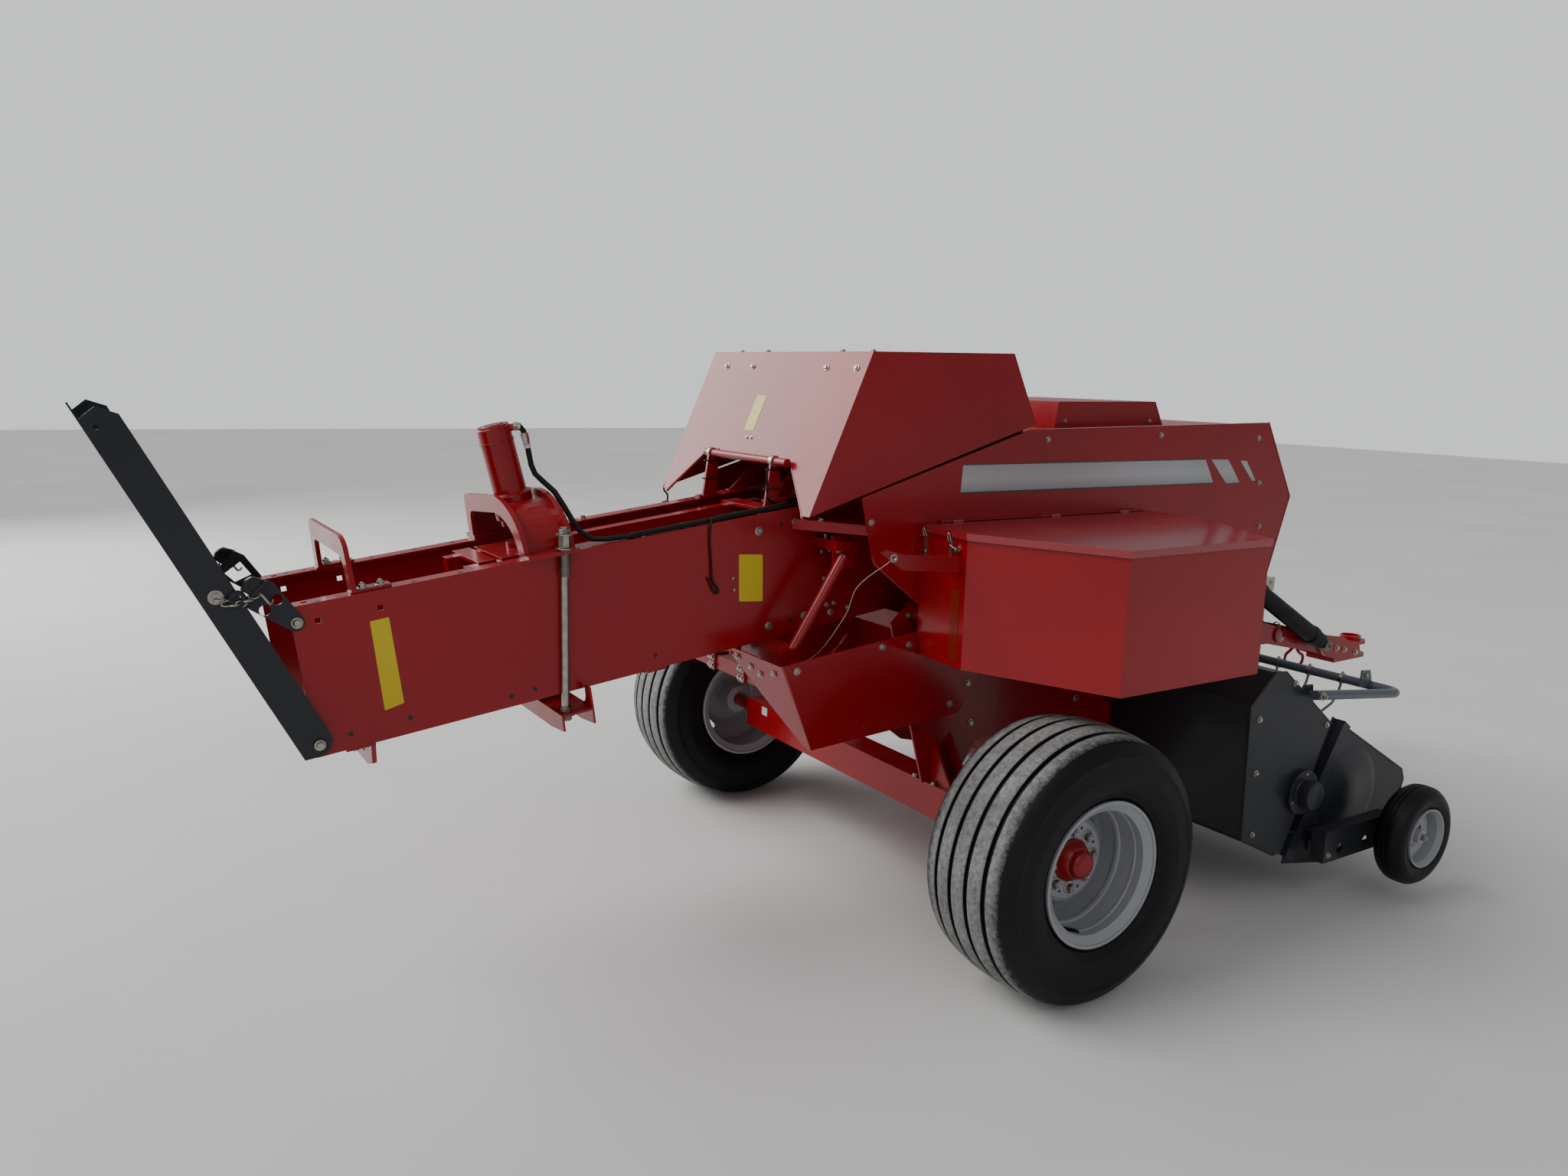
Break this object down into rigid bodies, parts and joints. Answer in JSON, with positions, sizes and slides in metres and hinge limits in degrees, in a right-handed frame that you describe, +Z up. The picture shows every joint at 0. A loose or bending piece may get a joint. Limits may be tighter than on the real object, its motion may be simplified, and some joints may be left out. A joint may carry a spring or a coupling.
{
  "type": "square baler",
  "caption": "Towed in-line small square baler: sloping bale chamber, hood over the knotters, twine boxes, tined pickup, drawbar with a jack",
  "frame": {"origin": "on the ground under the middle of the whole machine with its bale chute folded up", "axes": "+X forward, the way it is towed; +Y to its left; +Z up"},
  "size_m": [5.2467, 2.382, 1.796],
  "materials": {
    "red_paint": "gloss",
    "dark_paint": "satin",
    "black_paint": "satin",
    "jack_paint": "satin",
    "rim_silver": "satin",
    "cast_grey": "rough",
    "zinc_steel": "satin",
    "spring_steel": "satin",
    "ram_chrome": "gloss",
    "tyre_rubber": "matt",
    "hose_rubber": "matt",
    "black_plastic": "matt"
  },
  "bodies": {
    "frame_body": {"chamber_channels": "red_paint", "chamber_case": "red_paint", "chamber_bands": "red_paint", "density_yoke": "red_paint", "density_barrel": "red_paint", "tie_rods": "zinc_steel", "frame_plate_right": "red_paint", "frame_plate_left": "red_paint", "needle_yoke": "red_paint", "axle": "red_paint", "shield_right": "red_paint", "shield_left": "red_paint", "top_deck": "red_paint", "knotter_frame": "red_paint", "twine_box_right": "red_paint", "twine_box_left": "red_paint", "needle_guard": "red_paint", "chute_hangers": "dark_paint", "tongue": "red_paint", "hitch_head": "red_paint", "jack_tube": "jack_paint", "gearbox": "cast_grey", "drive_shaft": "black_plastic", "feed_pan": "red_paint", "density_hose": "hose_rubber"},
    "wheel_right_body": {"tyre_right": "tyre_rubber", "wheel_right": "rim_silver"},
    "wheel_left_body": {"tyre_left": "tyre_rubber", "wheel_left": "rim_silver"},
    "rails_body": {"top_rails": "red_paint"},
    "ram_body": {"density_ram": "ram_chrome"},
    "chute_body": {"chute": "dark_paint"},
    "hood_body": {"hood": "red_paint"},
    "lid_right_body": {"twine_lid_right": "red_paint"},
    "lid_left_body": {"twine_lid_left": "red_paint"},
    "jack_leg_body": {"jack_leg": "zinc_steel"},
    "flywheel_body": {"flywheel": "red_paint"},
    "pickup_body": {"pickup_frame": "dark_paint", "pickup_bands": "dark_paint"},
    "reel_body": {"pickup_reel": "spring_steel"},
    "auger_body": {"auger": "dark_paint"},
    "guard_body": {"wind_guard": "black_paint"},
    "gauge_right_body": {"gauge_tyre_right": "tyre_rubber", "gauge_wheel_right": "rim_silver"},
    "gauge_left_body": {"gauge_tyre_left": "tyre_rubber", "gauge_wheel_left": "rim_silver"}
  },
  "joints": [
    {"name": "wheel_right_spin", "type": "hinge", "parent": "frame_body", "child": "wheel_right_body", "pos_m": [-0.315, -0.949, 0.3935], "axis": [0, 1, 0], "continuous": true},
    {"name": "wheel_left_spin", "type": "hinge", "parent": "frame_body", "child": "wheel_left_body", "pos_m": [-0.315, 0.949, 0.3935], "axis": [0, 1, 0], "continuous": true},
    {"name": "pickup_lift", "type": "hinge", "parent": "frame_body", "child": "pickup_body", "pos_m": [0.43, 0, 0.69], "axis": [0, -1, 0], "range_deg": [-5.3, 2]},
    {"name": "reel_spin", "type": "hinge", "parent": "pickup_body", "child": "reel_body", "pos_m": [1.085, 0, 0.33], "axis": [0, 1, 0], "continuous": true},
    {"name": "auger_spin", "type": "hinge", "parent": "pickup_body", "child": "auger_body", "pos_m": [0.749, 0, 0.406], "axis": [0, 1, 0], "continuous": true},
    {"name": "guard_lift", "type": "hinge", "parent": "pickup_body", "child": "guard_body", "pos_m": [0.747, 0, 0.741], "axis": [0, -1, 0], "range_deg": [0, 10]},
    {"name": "gauge_right_spin", "type": "hinge", "parent": "pickup_body", "child": "gauge_right_body", "pos_m": [1.155, -1.14, 0.238], "axis": [0, 1, 0], "continuous": true},
    {"name": "gauge_left_spin", "type": "hinge", "parent": "pickup_body", "child": "gauge_left_body", "pos_m": [1.155, 1.14, 0.238], "axis": [0, 1, 0], "continuous": true},
    {"name": "chute_fold", "type": "hinge", "parent": "frame_body", "child": "chute_body", "pos_m": [-2.15696, 0, 0.80271], "axis": [0, -1, 0], "range_deg": [0, 70]},
    {"name": "hood_open", "type": "hinge", "parent": "frame_body", "child": "hood_body", "pos_m": [-0.027, 0, 1.598], "axis": [0, 1, 0], "range_deg": [0, 60]},
    {"name": "lid_right_open", "type": "hinge", "parent": "frame_body", "child": "lid_right_body", "pos_m": [-0.015, -0.463, 1.293], "axis": [-1, 0, 0], "range_deg": [0, 80]},
    {"name": "lid_left_open", "type": "hinge", "parent": "frame_body", "child": "lid_left_body", "pos_m": [-0.015, 0.463, 1.293], "axis": [1, 0, 0], "range_deg": [0, 80]},
    {"name": "rails_squeeze", "type": "hinge", "parent": "frame_body", "child": "rails_body", "pos_m": [-0.74146, 0, 1.29412], "axis": [0, -1, 0], "range_deg": [0, 3]},
    {"name": "ram_push", "type": "slide", "parent": "frame_body", "child": "ram_body", "axis": [0.2487, 0, -0.9686], "range_m": [0, 0.0415]},
    {"name": "jack_slide", "type": "slide", "parent": "frame_body", "child": "jack_leg_body", "axis": [0, 0, 1], "range_m": [-0.1, 0.22]},
    {"name": "flywheel_spin", "type": "hinge", "parent": "frame_body", "child": "flywheel_body", "pos_m": [1.085, 0, 1.12], "axis": [1, 0, 0], "continuous": true}
  ],
  "couplings": [
    {"joint": "ram_push", "follows": "rails_squeeze", "m_per_rad": 0.793}
  ]
}
